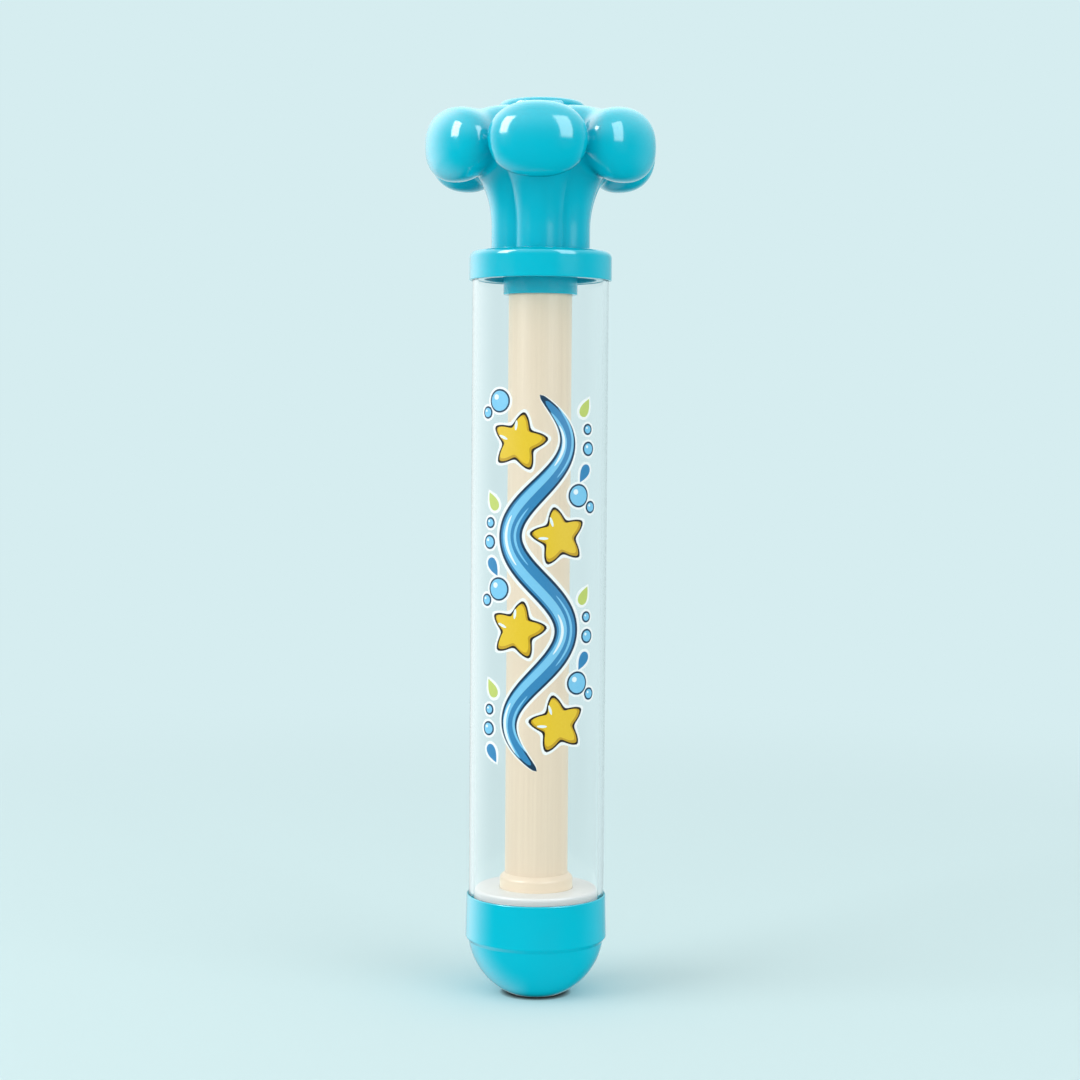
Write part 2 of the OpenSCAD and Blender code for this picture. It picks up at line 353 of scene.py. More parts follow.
@dataclass(frozen=True)
class MirroredRoom:
    """The room as glossy surfaces mirror it.

    It is dark before the object and below it, pale behind, brighter on the left, dimmer on the right and
    brightest above, and its floor is dimly lit on the left. The level is the back wall's, times one more than
    the sides' sum, times the greater of the two for the floor, plus the one above. Its colour turns from
    warm white on the left to the backdrop's own.
    """

    back: Rise = Rise("Y", -0.35, 0.6)
    left: Rise = Rise("X", -0.2, -0.9, 1.6)
    right: Rise = Rise("X", 0.08, 0.55, -0.4)
    above: Rise = Rise("Z", 0.0, 0.95, 2.2)
    below: Rise = Rise("Z", -0.7, -0.1)
    floor: Rise = Rise("X", -0.05, -0.3, 0.6)
    turn: Rise = Rise("X", -0.45, -0.1)
    wall_least: float = 0.3
    tone: str = "#F2ECE9"
    wall_tone: str = "#D6EDF0"

    def light(self, tree: Tree, way: Socket) -> dict[str, Socket]:
        """Add the room's colour and brightness by direction, more even once a ray has passed the clear tube.

        Args:
            tree: The node tree of the world or of the paper.
            way: Direction from the object, of length 1.

        Returns:
            The inputs of the shader that shows the room.
        """
        axes = add_node(tree, "SeparateXYZ", inputs={"Vector": way})
        back, left, right, above, below, floor, turn = (
            add_node(tree, "MapRange", SMOOTH, {
                "Value": axes[rise.axis], "From Min": rise.start, "From Max": rise.full,
                "To Max": rise.level})["Result"]
            for rise in (self.back, self.left, self.right, self.above, self.below, self.floor, self.turn))
        depth = add_node(tree, "LightPath")["Transmission Depth"]
        outside, least = (
            add_node(tree, "MapRange", inputs={"Value": depth, "To Min": before, "To Max": after})["Result"]
            for before, after in ((1.0, 0.0), (0.0, self.wall_least)))
        sides = add_node(tree, "Math", ADD, {0: left, 1: right})["Value"]
        sides = add_node(tree, "Math", MULTIPLY_ADD, {0: sides, 1: outside, 2: 1.0})["Value"]
        walls = add_node(tree, "Math", MULTIPLY, {0: sides, 1: back})["Value"]
        lit = add_node(tree, "Math", MAXIMUM, {0: below, 1: floor})["Value"]
        level = add_node(tree, "Math", MULTIPLY_ADD, {0: walls, 1: lit, 2: above})["Value"]
        level = add_node(tree, "Math", MAXIMUM, {0: level, 1: least})["Value"]
        share = add_node(tree, "Math", MAXIMUM, {0: depth, 1: turn})["Value"]
        colour = add_node(tree, "Mix", BLEND, {
            "Factor": share, MIX_A: linear(self.tone), MIX_B: linear(self.wall_tone)})[MIX_OUT]
        return {"Color": colour, "Strength": level}


@dataclass(frozen=True)
class BackdropPaper(Finish):
    """Matt seamless paper of the set.

    It takes the shadow near the object and fades to the even backdrop. Its colour is darkened by ambient
    occlusion where the object comes near, a painted contact shade. In mirrors it is as bright as the room.
    For rays from other surfaces it glows like a lamp, a painted bounce light on the undersides of the object,
    weaker from far away and none from right under the tip. Pairs of distances are in metres.
    """

    colour: str
    backdrop: str
    room: MirroredRoom
    fade: Pair = (0.2, 0.75)
    # Painted bounce light: the paper's glow grows from none right under the tip, then weakens far away
    contact: Pair = (0.0085, 0.014)
    painted_bounce_fade: Pair = (0.05, 0.2)
    painted_bounce: Pair = (1.2, 0.94)
    # Reach of the ambient occlusion that paints a contact shade into the paper's colour
    painted_shade_reach: float = 0.0017
    roughness: float = 0.5

    def surface(self, tree: Tree) -> Socket:
        """Add the fade from lit paper to even backdrop, the painted contact shade, the painted bounce glow
        and its mirror image.

        Args:
            tree: The material's node tree.

        Returns:
            The shader.
        """
        place = add_node(tree, "TexCoord")["Object"]
        away = add_node(tree, "VectorMath", LENGTH, {0: place})["Value"]
        way = add_node(tree, "VectorMath", NORMALIZE, {0: place})["Vector"]
        share, contact, painted_bounce = (
            add_node(tree, "MapRange", SMOOTH, {
                "Value": away, "From Min": near, "From Max": far, "To Min": start, "To Max": end})["Result"]
            for (near, far), (start, end) in (
                (self.fade, (0.0, 1.0)), (self.contact, (0.0, 1.0)), (self.painted_bounce_fade, self.painted_bounce)))
        painted_bounce_strength = add_node(tree, "Math", MULTIPLY, {0: contact, 1: painted_bounce})["Value"]
        # Ambient occlusion darkens the paper's colour where the object comes near: a painted contact shade
        painted_contact_shade = add_node(tree, "AmbientOcclusion", inputs={
            "Color": linear(self.colour), "Distance": self.painted_shade_reach})["Color"]
        paper = add_node(tree, "BsdfDiffuse", inputs={"Color": painted_contact_shade, "Roughness": self.roughness})["BSDF"]
        even = add_node(tree, "Emission", inputs={"Color": linear(self.backdrop)})["Emission"]
        # The paper glows for diffuse rays with the painted bounce strength: a painted bounce light, cut out
        # under the tip
        glow = add_node(tree, "Emission", inputs={
            "Color": linear(self.backdrop), "Strength": painted_bounce_strength})["Emission"]
        mirror = add_node(tree, "Emission", inputs=self.room.light(tree, way))["Emission"]
        path = add_node(tree, "LightPath")
        mirrored = add_node(tree, "Math", MINIMUM, {0: path["Glossy Depth"], 1: 1.0})["Value"]
        shown = paper
        for part, other in ((share, even), (path["Is Diffuse Ray"], glow), (mirrored, mirror)):
            shown = add_node(tree, "MixShader", inputs={0: part, 1: shown, 2: other})["Shader"]
        return shown


TEAL = MouldedPlastic("teal_polypropylene_moulded", Slot.TEAL, "#02BBD1", "#00B3CA", (0.10, 0.17), coat=0.3)
CREAM = ExtrudedPipe("cream_pvc_extruded", Slot.CREAM, "#EEDCC3", "#E8D5BC", (0.30, 0.42))
CREAM_MOULDED = MouldedPlastic(
    "cream_pvc_moulded", Slot.CREAM, "#F0E1C9", "#E9D8BF", (0.28, 0.4), relief=Pattern(3.0, 1.0))
WHITE = MouldedPlastic(
    "white_polyethylene_moulded", Slot.WHITE, "#EEF0EF", "#E3E6E4", (0.3, 0.45), relief=Pattern(3.0, 1.0))
RUBBER = MouldedPlastic(
    "nitrile_rubber_moulded", Slot.RUBBER, "#34373A", "#2A2C2F", (0.5, 0.65), marks=Pattern(2.0, 3.0),
    relief=Pattern(0.8, 1.0), relief_mm=0.03)
CLEAR = ClearTube("clear_petg_extruded", Slot.CLEAR, "#FEFEFE", "#FCFCFC")
STEEL = PlatedSteel("zinc_plated_steel", Slot.STEEL, "#B4B8BC", "#9DA2A8", (0.22, 0.46))


@dataclass(frozen=True)
class Shell:
    """Points of a closed surface, in millimetres, and its faces."""

    points: np.ndarray
    quads: np.ndarray
    triangles: np.ndarray


def grid_shell(points: np.ndarray, ends: Ends) -> Shell:
    """Skin a grid of points whose columns close round.

    Each face joins a point with its neighbours in the next column and the next row, in the order that turns
    it outwards where columns run anticlockwise round rows that climb.

    Args:
        points: Rows by columns by 3, in millimetres.
        ends: Whether the rows close round or shrink to poles, which are single points.

    Returns:
        The closed surface.
    """
    rows, columns = points.shape[:2]
    if ends is Ends.LOOP:
        index = np.arange(rows * columns).reshape(rows, columns)
        above = np.roll(index, -1, 0)
        flat = points.reshape(-1, 3)
        fans = np.empty((0, 3), int)
    else:
        index = np.arange((rows - 2) * columns).reshape(rows - 2, columns)
        above = index[1:]
        flat = np.concatenate([points[1:-1].reshape(-1, 3), points[:1, 0], points[-1:, 0]])
        first, last = np.full(columns, len(flat) - 2), np.full(columns, len(flat) - 1)
        fans = np.concatenate([
            np.stack([first, np.roll(index[0], -1), index[0]], -1),
            np.stack([index[-1], np.roll(index[-1], -1), last], -1)])
        index = index[:-1]
    quads = np.stack([index, np.roll(index, -1, 1), np.roll(above, -1, 1), above], -1)
    return Shell(flat, quads.reshape(-1, 4), fans)


def make_piece(name: str, shells: list[Shell], finish: Finish, body: Body,
               node: str = "") -> bpy.types.Object:
    """Write closed surfaces into one mesh object at the origin, and tie it to the frame.

    Args:
        name: The piece's name.
        shells: Its surfaces, in millimetres.
        finish: Its finish.
        body: The body that it moves with.
        node: The node of the frame that it stands for, if any.

    Returns:
        The new object, smooth apart from sharp edges.
    """
    starts = np.cumsum([0] + [len(s.points) for s in shells])
    points = np.concatenate([s.points for s in shells]) * MM
    quads = np.concatenate([s.quads + start for s, start in zip(shells, starts)])
    triangles = np.concatenate([s.triangles + start for s, start in zip(shells, starts)])
    mesh = bpy.data.meshes.new(name)
    mesh.from_pydata(points.tolist(), [], quads.tolist() + triangles.tolist())
    mesh.validate()
    mesh.shade_smooth()
    mesh.set_sharp_from_angle(angle=SHARP_ANGLE)
    mesh.materials.append(finish.material())
    piece = bpy.data.objects.new(name, mesh)
    bpy.context.scene.collection.objects.link(piece)
    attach(piece, body.value)
    if node:
        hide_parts(node)
    LOG.info("%s: %d faces, %s, rides on %s", name, len(mesh.polygons), finish.name, body.value)
    return piece


def node_box(node: str) -> tuple[np.ndarray, np.ndarray]:
    """Return the lowest and highest corners of a node of the frame, in millimetres."""
    low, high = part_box(node)
    return np.array(low) / MM, np.array(high) / MM


def rounded(corners: list[Corner]) -> np.ndarray:
    """Round the corners of a closed outline.

    Each corner becomes an arc that touches both of its sides: the arc starts fillet / tan(half the corner's
    angle) from the corner, and its centre lies on the bisector at fillet / sin(half the angle). One more
    point just outside each end of the arc keeps the flat sides flat to the eye.

    Args:
        corners: Radius, height and fillet of each corner, anticlockwise with the axis on the left.

    Returns:
        Radius and height of the outline's points.
    """
    table = np.array(corners, float)
    at, fillet = table[:, :2], table[:, 2:]
    back, ahead = np.roll(at, 1, 0) - at, np.roll(at, -1, 0) - at
    back_length, ahead_length = (np.linalg.norm(v, axis=1, keepdims=True) for v in (back, ahead))
    back, ahead = back / back_length, ahead / ahead_length
    half = np.arccos(np.clip((back * ahead).sum(1, keepdims=True), -1, 1)) / 2
    turn = np.sign(back[:, 1:] * ahead[:, :1] - back[:, :1] * ahead[:, 1:]) * (math.pi - 2 * half)
    reach = fillet / np.tan(half)
    bisector = (back + ahead) / np.maximum(np.linalg.norm(back + ahead, axis=1, keepdims=True), TINY)
    centre = at + bisector * fillet / np.sin(half)
    angle = turn * np.linspace(0, 1, FILLET_STEPS + 1)
    x, y = np.split(at + back * reach - centre, 2, axis=1)
    arc = np.stack([x * np.cos(angle) - y * np.sin(angle), x * np.sin(angle) + y * np.cos(angle)], -1)
    keep = np.where(fillet > 0, SUPPORT, 0.0)
    before, after = (
        at + way * np.minimum(reach + keep, np.maximum(reach, length * SUPPORT_SHARE))
        for way, length in ((back, back_length), (ahead, ahead_length)))
    line = np.concatenate([before[:, None], arc + centre[:, None], after[:, None]], 1).reshape(-1, 2)
    return line[np.linalg.norm(line - np.roll(line, 1, 0), axis=1) > LEAST_GAP]


def ball_arc(centre: float, radius: float, low: float, high: float, count: int) -> list[Corner]:
    """Work out plain corners along a ball's upright outline, in even steps of angle between two heights.

    Args:
        centre: Height of the ball's centre.
        radius: Its radius.
        low: Height where the arc starts, with no corner there.
        high: Height where it ends, with no corner there.
        count: How many corners it has.

    Returns:
        The corners from low to high.
    """
    ends = [math.asin((z - centre) / radius) for z in (low, high)]
    angle = np.linspace(*ends, count + 2)[1:-1]
    return [(radius * math.cos(a), centre + radius * math.sin(a), 0.0) for a in angle]


def lathe(profile: np.ndarray, ends: Ends = Ends.LOOP) -> Shell:
    """Turn an outline about the barrel's axis.

    The point of row i and column j is (radius cos a, radius sin a, height), with a in even steps round.

    Args:
        profile: Radius and height of the outline's points, anticlockwise with the axis on the left.
        ends: LOOP for a ring's section, POLES for an outline that starts and ends on the axis.

    Returns:
        The turned surface.
    """
    angle = np.linspace(0, FULL_TURN, TURN_COLUMNS, endpoint=False)
    radius, height = profile[:, :1], profile[:, 1:]
    points = np.stack([radius * np.cos(angle), radius * np.sin(angle), height + 0 * angle], -1)
    return grid_shell(points, ends)


def plain_ring(node: str, inner: float, edge: float) -> Shell:
    """Turn a rectangle with rounded corners, as high and wide as a node, about the barrel's axis.

    Args:
        node: The node of the frame.
        inner: Radius of the ring's hole.
        edge: Fillet of its corners.

    Returns:
        The ring's surface.
    """
    low, high = node_box(node)
    return lathe(rounded([
        (inner, low[2], edge), (high[0], low[2], edge), (high[0], high[2], edge), (inner, high[2], edge)]))


@dataclass
class Barrel:
    """Nose cap, clear tube and collar, which stand still. Sizes are in millimetres."""

    press_gap: float = 0.05
    tube_wall: float = 1.6
    nose_step: float = 0.8
    step_height: float = 1.3
    step_edge: float = 0.7
    step_crease: float = 0.5
    skirt_draft: float = 0.3
    tip_flat: float = 8.2
    nose_wall: float = 2.3
    nozzle_r: float = 2.5
    nozzle_length: float = 5.0
    collar_height: float = 9.1
    collar_edge: float = 2.0
    plug_depth: float = 6.6
    plug_wall: float = 2.2
    plug_fillet: float = 0.6
    guide_r: float = 10.1
    guide_wall: float = 1.6
    mould_edge: float = 0.3
    tip_edge: float = 0.9
    rim_edge: float = 0.45
    socket_edge: float = 0.15
    dome_rows: int = 24
    chamber_rows: int = 16

    def build(self) -> None:
        """Build and dress the three pieces."""
        bore = node_box("barrel_tube")[1][0] - self.tube_wall
        tube = plain_ring("barrel_tube", bore, self.mould_edge)
        make_piece("nose_cap_shell", [self.nose()], TEAL, Body.BARREL, "nose_cap")
        make_piece("tube_shell", [tube], CLEAR, Body.BARREL, "barrel_tube")
        make_piece("collar_shell", [self.collar()], TEAL, Body.BARREL, "collar")

    def nose(self) -> Shell:
        """Work out the cap: a ball cut flat at the tip, a sloping step and a skirt round the tube's socket.

        Returns:
            The cap's surface.
        """
        low, high = node_box("nose_cap")
        tube_low, tube_high = node_box("barrel_tube")
        skirt_r, rim, seat = high[0], high[2], tube_low[2]
        ball_r = skirt_r - self.nose_step
        centre = math.sqrt(ball_r ** 2 - self.tip_flat ** 2)
        step = seat - self.step_height
        step_r = math.sqrt(ball_r ** 2 - (centre - step) ** 2)
        inner_r = ball_r - self.nose_wall
        socket_r = tube_high[0] + self.press_gap
        floor = self.nozzle_length
        seat_r, floor_r = (math.sqrt(inner_r ** 2 - (centre - z) ** 2) for z in (seat, floor))
        edge = self.mould_edge
        return lathe(rounded([
            (self.nozzle_r, low[2], edge), (self.tip_flat, low[2], self.tip_edge),
            *ball_arc(centre, ball_r, low[2], step, self.dome_rows),
            (step_r, step, self.step_crease), (skirt_r, seat, self.step_edge),
            (skirt_r - self.skirt_draft, rim, self.rim_edge), (socket_r, rim, self.socket_edge),
            (socket_r, seat, 0), (seat_r, seat, edge),
            *ball_arc(centre, inner_r, floor, seat, self.chamber_rows)[::-1],
            (floor_r, floor, 0), (self.nozzle_r, floor, edge)]))

    def collar(self) -> Shell:
        """Work out the collar: an outer wall, a top, a ring inside the tube and the rod's guide.

        Returns:
            The collar's surface.
        """
        low, high = node_box("collar")
        tube_r, tube_top = node_box("barrel_tube")[1][[0, 2]]
        foot = high[2] - self.collar_height
        guide_out = self.guide_r + self.guide_wall
        plug_r = tube_r - self.tube_wall - self.press_gap
        plug_in, plug_foot = plug_r - self.plug_wall, tube_top - self.plug_depth
        socket_r = tube_r + self.press_gap
        edge = self.mould_edge
        return lathe(rounded([
            (high[0], foot, edge), (high[0], high[2], self.collar_edge), (self.guide_r, high[2], edge),
            (self.guide_r, low[2], edge), (guide_out, low[2], edge), (guide_out, tube_top, self.plug_fillet),
            (plug_in, tube_top, self.plug_fillet), (plug_in, plug_foot, edge), (plug_r, plug_foot, edge),
            (plug_r, tube_top, 0), (socket_r, tube_top, 0), (socket_r, foot, self.socket_edge)]))


@dataclass
class Piston:
    """Piston disc with its seal and washer, and the cup on the rod's foot. Sizes are in millimetres."""

    press_gap: float = 0.05
    groove_gap: float = 0.15
    hole_r: float = 2.05
    rim: float = 0.8
    cup_edge: float = 1.2
    cup_slope: float = 1.4
    edge: float = 0.2
    seal_columns: int = 32

    def build(self) -> None:
        """Build and dress the pieces that slide in the barrel."""
        washer = plain_ring("piston_washer", self.hole_r, self.edge)
        make_piece("piston_disc", [self.disc()], WHITE, Body.PLUNGER, "piston_head")
        make_piece("seal_ring", [self.seal()], RUBBER, Body.SEAL, "piston_seal")
        make_piece("washer_ring", [washer], STEEL, Body.PLUNGER, "piston_washer")
        make_piece("foot_cup_shell", [self.cup()], CREAM_MOULDED, Body.PLUNGER, "rod_foot_cup")

    def disc(self) -> Shell:
        """Work out the piston: a disc with rounded rims, a groove for the seal and a recess for the cup.

        Returns:
            The disc's surface.
        """
        low, high = node_box("piston_head")
        seal_low, seal_high = node_box("piston_seal")
        cup_low, cup_high = node_box("rod_foot_cup")
        seal_d = seal_high[2] - seal_low[2]
        groove_r = seal_high[0] - seal_d - self.groove_gap
        groove_low, groove_high = seal_low[2] - self.groove_gap, seal_high[2] + self.groove_gap
        recess_r = cup_high[0] + self.press_gap
        return lathe(rounded([
            (self.hole_r, low[2], 0), (high[0], low[2], self.rim), (high[0], groove_low, self.edge),
            (groove_r, groove_low, self.edge), (groove_r, groove_high, self.edge),
            (high[0], groove_high, self.edge), (high[0], high[2], self.rim), (recess_r, high[2], self.edge),
            (recess_r, cup_low[2], 0), (self.hole_r, cup_low[2], 0)]))

    def seal(self) -> Shell:
        """Turn a circle about the axis as the rubber ring.

        Returns:
            The ring's surface.
        """
        low, high = node_box("piston_seal")
        r = (high[2] - low[2]) / 2
        angle = np.linspace(0, FULL_TURN, self.seal_columns, endpoint=False)
        centre = np.array([high[0] - r, low[2] + r])
        return lathe(centre + r * np.stack([np.cos(angle), np.sin(angle)], -1))

    def cup(self) -> Shell:
        """Work out the cup that holds the rod's foot, with an upper rim that slopes in to the rod.

        Returns:
            The cup's surface.
        """
        low, high = node_box("rod_foot_cup")
        rod_low, rod_high = node_box("plunger_rod")
        socket_r = rod_high[0] + self.press_gap
        return lathe(rounded([
            (self.hole_r, low[2], 0), (high[0], low[2], self.edge),
            (high[0], high[2] - self.cup_slope, self.cup_edge), (socket_r, high[2], 0),
            (socket_r, rod_low[2], 0), (self.hole_r, rod_low[2], 0)]))


@dataclass
class Rod:
    """The plunger's pipe. Sizes are in millimetres."""

    wall: float = 1.8
    edge: float = 0.3

    def build(self) -> None:
        """Build and dress the pipe."""
        pipe = plain_ring("plunger_rod", node_box("plunger_rod")[1][0] - self.wall, self.edge)
        make_piece("rod_pipe", [pipe], CREAM, Body.PLUNGER, "plunger_rod")


def soft_min(a: np.ndarray, b: np.ndarray, width: float) -> np.ndarray:
    """Return the least of two distances, rounded over a width where they meet."""
    return np.minimum(a, b) - (np.maximum(width - np.abs(a - b), 0) / width) ** 2 * width / 4


@dataclass
class Knob:
    """Six-lobed knob on a fluted stem that flares into it, and the cap on its hub.

    Sizes are in millimetres, and the turn and the crease's softness in degrees.
    """

    lobes: int = 6
    turn: float = -2.3
    lobe_reach: float = 29.0
    lobe_deep: float = 8.97
    lobe_wide: float = 14.9
    lobe_tall: float = 11.4
    lobe_height: float = 31.5
    lobe_power: float = 2.3
    web_r: float = 25.5
    web_tall: float = 9.5
    flute_reach: float = 8.3
    flute_r: float = 8.25
    flare_start: float = 7.4
    flare_h: float = 20.8
    flare_r: float = 30.0
    hub_edge: float = 8.5
    crease_soft: float = 1.8
    fillet: float = 4.3
    socket_gap: float = 0.05
    hole_r: float = 2.05
    floor: float = 4.0
    well_r: float = 8.0
    foot_edge: float = 0.4
    cap_edge: float = 1.8
    edge: float = 0.25
    half_columns: int = 22
    foot_rows: int = 9
    stem_rows: int = 14
    under_rows: int = 28
    over_rows: int = 64
    top_rows: int = 13
    halvings: int = 30

    def __post_init__(self) -> None:
        """Take the knob's place from the frame."""
        low, high = node_box("knob")
        self.foot, self.hub_top = low[2], high[2]
        self.lobe_z = self.foot + self.lobe_height
        self.flare_z = self.foot + self.flare_start
        self.fan_r = self.web_r - self.fillet
        self.fan_z = self.flare_z + self.fillet
        self.cap_r = node_box("knob_cap")[1][0]

    def build(self) -> None:
        """Build and dress the knob and its cap."""
        make_piece("knob_body", [self.body()], TEAL, Body.PLUNGER, "knob")
        make_piece("knob_cap_disc", [self.cap()], TEAL, Body.PLUNGER, "knob_cap")

    def flute(self, d: np.ndarray) -> np.ndarray:
        """Return the stem's radius: the far side of a circle beside the axis, at an angle from its ridge."""
        return self.flute_reach * np.cos(d) + np.sqrt(self.flute_r ** 2 - (self.flute_reach * np.sin(d)) ** 2)

    def skin(self, r: np.ndarray, z: np.ndarray, d: np.ndarray) -> np.ndarray:
        """Work out the distance outside the knob's skin.

        The stem is its flutes plus a flare that follows a circle, and ends in a rounded hub. The web is a
        flattened ball. A lobe is an ellipsoid whose upright outline is a little squared. The three are joined
        by soft least distances.

        Args:
            r: Distance from the axis.
            z: Height.
            d: Angle from the nearest lobe's ridge, in radians.

        Returns:
            Distance in millimetres, below zero inside.
        """
        climb = np.clip(z - self.flare_z, 0, self.flare_h)
        flare = self.flare_r - np.sqrt(self.flare_r ** 2 - climb ** 2)
        hub = -soft_min(self.flute(d) + flare - r, self.hub_top - z, self.hub_edge)
        web = self.web_tall * (np.hypot(r / self.web_r, (z - self.lobe_z) / self.web_tall) - 1)
        plan = np.hypot((r * np.cos(d) - self.lobe_reach) / self.lobe_deep, r * np.sin(d) / self.lobe_wide)
        sides = plan ** self.lobe_power + (np.abs(z - self.lobe_z) / self.lobe_tall) ** self.lobe_power
        lobe = self.lobe_tall * (sides ** (1 / self.lobe_power) - 1)
        return soft_min(soft_min(hub, web, self.fillet), lobe, self.fillet)

    def crossing(self, start: np.ndarray | Pair, along: np.ndarray | Pair, far: np.ndarray | float,
                 d: np.ndarray, side: int) -> np.ndarray:
        """Find where rays cross the skin, by halving the stretch that holds the crossing.

        Args:
            start: Radius and height where each row's ray starts, or one place for all.
            along: Its direction, or one for all.
            far: How far it may run.
            d: Angle of each column from its ridge.
            side: 1 for rays from inside, -1 for rays from outside.

        Returns:
            Rows by columns by 2, radius and height of the crossings.
        """
        start, along = np.atleast_2d(start), np.atleast_2d(along)
        near = np.zeros((max(len(start), len(along)), len(d)))
        far = near + np.reshape(far, (-1, 1))
        for _ in range(self.halvings):
            middle = (near + far) / 2
            r, z = (start[:, i:i + 1] + along[:, i:i + 1] * middle for i in (0, 1))
            inside = side * self.skin(r, z, d) < 0
            near, far = np.where(inside, middle, near), np.where(inside, far, middle)
        return start[:, None] + along[:, None] * ((near + far) / 2)[..., None]

    def outline(self, d: np.ndarray) -> np.ndarray:
        """Work out the knob's outer outline at each column, from the stem's foot to the cap's seat.

        Rays run level up the stem, turn about a ring outside it for the fillet under the lobes, fan out from
        a ring inside the web over the lobes, and stand upright over the hub.

        Args:
            d: Angle of each column from its ridge.

        Returns:
            Rows by columns by 2, radius and height.
        """
        reach = 2 * self.lobe_reach
        turn = np.linspace(0, QUARTER_TURN, self.foot_rows)[:, None]
        foot = np.stack([self.flute(d) - self.foot_edge * (1 - np.sin(turn)),
                         self.foot + self.foot_edge * (1 - np.cos(turn)) + 0 * d], -1)
        rise = np.linspace(self.foot + 2 * self.foot_edge, self.fan_z, self.stem_rows)
        stem = self.crossing(np.stack([0 * rise, rise], -1), (1.0, 0.0), reach, d, 1)
        t = np.linspace(0, QUARTER_TURN, self.under_rows + 1)[1:]
        limit = np.minimum(self.fan_r / np.maximum(np.cos(t), TINY), (self.lobe_z - self.fan_z) / np.sin(t))
        fan = np.stack([-np.cos(t), np.sin(t)], -1)
        under = self.crossing((self.fan_r, self.fan_z), fan, limit, d, -1)
        t = np.linspace(-QUARTER_TURN, QUARTER_TURN, self.over_rows + 1)[1:]
        stretch = (self.lobe_reach + self.lobe_deep - self.fan_r) / self.lobe_tall
        fan = np.stack([stretch * np.cos(t), np.sin(t)], -1)
        over = self.crossing((self.fan_r, self.lobe_z), fan, reach, d, 1)
        inward = np.linspace(self.fan_r, self.cap_r, self.top_rows + 2)[1:-1]
        top = self.crossing(np.stack([inward, 0 * inward + self.lobe_z], -1), (0.0, 1.0), reach, d, 1)
        return np.concatenate([foot, stem, under, over, top])

    def body(self) -> Shell:
        """Work out the knob: its outer outline, then its well, screw hole and socket, as one closed grid.

        Columns lie closer at the creases, where a sine spreads them. A crease's angle from its ridge is
        rounded by an arcsine of a little less than a full sine.

        Returns:
            The knob's surface.
        """
        share = np.arange(-self.half_columns, self.half_columns) / self.half_columns
        column = math.pi / self.lobes * np.sin(QUARTER_TURN * share)
        column = (FULL_TURN / self.lobes * np.arange(self.lobes)[:, None] + column).ravel()
        soft = math.cos(math.radians(self.crease_soft))
        d = np.arcsin(soft * np.sin(self.lobes * column / 2)) * 2 / self.lobes
        rod_r, rod_top = node_box("plunger_rod")[1][[0, 2]]
        socket_r, well = rod_r + self.socket_gap, rod_top + self.floor
        inner = np.array([
            (self.cap_r, self.hub_top), (self.well_r, self.hub_top), (self.well_r, well), (self.hole_r, well),
            (self.hole_r, rod_top), (socket_r, rod_top), (socket_r, self.foot + self.edge),
            (socket_r + self.edge, self.foot)])
        rows = np.concatenate([self.outline(d), np.repeat(inner[:, None], len(d), 1)])
        angle = column + math.radians(self.turn) - QUARTER_TURN
        points = np.stack([rows[..., 0] * np.cos(angle), rows[..., 0] * np.sin(angle), rows[..., 1]], -1)
        return grid_shell(points, Ends.LOOP)

    def cap(self) -> Shell:
        """Work out the cap: a disc with a rounded edge and a plug in the well.

        Returns:
            The cap's surface.
        """
        low, high = node_box("knob_cap")
        plug_r = self.well_r - self.socket_gap
        return lathe(rounded([
            (0, low[2], 0), (plug_r, low[2], self.edge), (plug_r, self.hub_top, 0),
            (high[0], self.hub_top, self.edge), (high[0], high[2], self.cap_edge),
            (0, high[2], 0)]), Ends.POLES)


class Ink(Enum):
    """Inks of the print: piece's name, colour, thin colour, and place in the stack of layers."""

    BORDER = ("print_border", "#F3F6F5", "#E9EEED", 0)
    NAVY = ("print_navy", "#0D3450", "#12405F", 1)
    BLACK = ("print_outline", "#1D1A17", "#2A2521", 1)
    BLUE = ("print_blue", "#2A7FB3", "#3389BC", 2)
    AMBER = ("print_amber", "#C29A12", "#CBA21B", 2)
    LIME = ("print_lime", "#BACB63", "#C3D272", 2)
    SKY = ("print_sky", "#6FBFE6", "#7FC8EA", 3)
    YELLOW = ("print_yellow", "#E3BE1C", "#E8C62C", 3)
    GLINT = ("print_glint", "#E9F4F7", "#DDEDF2", 4)

    @property
    def piece(self) -> str:
        """Return the name of the ink's piece."""
        return self.value[0]

    @property
    def level(self) -> int:
        """Return the ink's place in the stack of layers."""
        return self.value[3]

    def finish(self) -> ScreenInk:
        """Return the ink's finish."""
        return ScreenInk(self.piece + "_screen_ink", None, self.value[1], self.value[2])


@dataclass(frozen=True)
class Band:
    """A band of ink along the stream: its ends, its half width and how far right of the middle it lies.

    The ends are shares of the stream's length, and the others of its half width.
    """

    ink: Ink
    start: float
    end: float
    half: float
    aside: float = 0.0


@dataclass(frozen=True)
class Motif:
    """A bubble or drop by a bend, in millimetres from its middle, and the angle that a drop leans."""

    ink: Ink
    across: float
    up: float
    r: float
    lean: float = 0.0


STREAM_BANDS = (Band(Ink.BLUE, 0.015, 0.985, 1.0), Band(Ink.SKY, 0.04, 0.96, 0.42, -0.36))
BEND_BANDS = (Band(Ink.GLINT, -0.07, 0.05, 0.14, -0.42), Band(Ink.SKY, -0.085, 0.085, 0.12, 0.5))
BUBBLES = (
    Motif(Ink.SKY, 13.0, 12.6, 3.1),
    Motif(Ink.SKY, 17.8, 9.0, 1.4),
    Motif(Ink.SKY, -16.7, -2.0, 1.7),
    Motif(Ink.SKY, -16.4, 4.0, 1.2),
)
DROPS = (Motif(Ink.LIME, -15.2, 10.4, 2.3, 0.5), Motif(Ink.BLUE, -15.2, -9.4, 2.3, -2.6))


